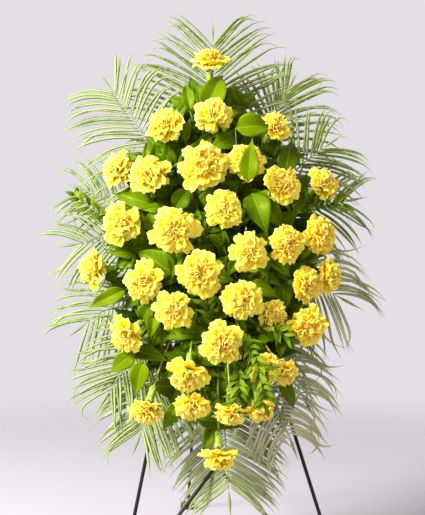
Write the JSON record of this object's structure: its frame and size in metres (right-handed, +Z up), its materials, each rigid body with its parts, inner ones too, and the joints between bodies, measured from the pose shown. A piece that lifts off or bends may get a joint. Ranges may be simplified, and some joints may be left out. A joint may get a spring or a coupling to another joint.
{
  "type": "standing funeral spray",
  "caption": "Oval spray of yellow carnations, palm fronds and broad leaves in floral foam, leaning on a three-legged black wire easel.",
  "frame": {"origin": "on the floor, under the middle of the bounding box", "axes": "+Z up; the spray faces -Y; +X to the right of a person who looks at its front"},
  "size_m": [0.6356, 0.7058, 1.0506],
  "materials": {
    "black_wire": "gloss",
    "vinyl_cap": "matte",
    "tray_plastic": "satin",
    "foam": "matte",
    "palm": "satin",
    "stem": "matte",
    "petals": "matte",
    "sprig": "satin",
    "leaf": "gloss"
  },
  "bodies": {
    "root": {"carnation_01": "petals", "carnation_02": "petals", "carnation_03": "petals", "carnation_04": "petals", "carnation_05_06": "petals", "carnation_07_08": "petals", "carnation_09": "petals", "carnation_10": "petals", "carnation_11": "petals", "carnation_12": "petals", "carnation_13": "petals", "carnation_14": "petals", "carnation_15": "petals", "carnation_16": "petals", "carnation_17": "petals", "carnation_18": "petals", "carnation_19": "petals", "carnation_20": "petals", "carnation_21_22": "petals", "carnation_23": "petals", "carnation_24": "petals", "carnation_25": "petals", "carnation_26": "petals", "carnation_27": "petals", "carnation_28_29": "petals", "carnation_30_32": "petals", "carnation_31": "petals", "carnation_33_34": "petals", "carnation_35": "petals", "carnation_stems": "stem", "easel_back_leg": "black_wire", "easel_brace_left": "black_wire", "easel_brace_right": "black_wire", "easel_foot_back": "vinyl_cap", "easel_foot_left": "vinyl_cap", "easel_foot_right": "vinyl_cap", "easel_leg_left": "black_wire", "easel_leg_right": "black_wire", "easel_stay": "black_wire", "easel_top_bracket": "black_wire", "floral_foam": "foam", "foam_tray": "tray_plastic", "leaves_lower": "leaf", "leaves_middle": "leaf", "leaves_upper": "leaf", "palm_frond_bottom": "palm", "palm_frond_bottom_left": "palm", "palm_frond_bottom_right": "palm", "palm_frond_left_high": "palm", "palm_frond_left_low": "palm", "palm_frond_left_middle": "palm", "palm_frond_lower_left": "palm", "palm_frond_lower_right": "palm", "palm_frond_right_high": "palm", "palm_frond_right_low": "palm", "palm_frond_right_shoulder": "palm", "palm_frond_top": "palm", "palm_frond_upper_left": "palm", "palm_frond_upper_right": "palm", "sprigs": "sprig"}
  },
  "joints": []
}
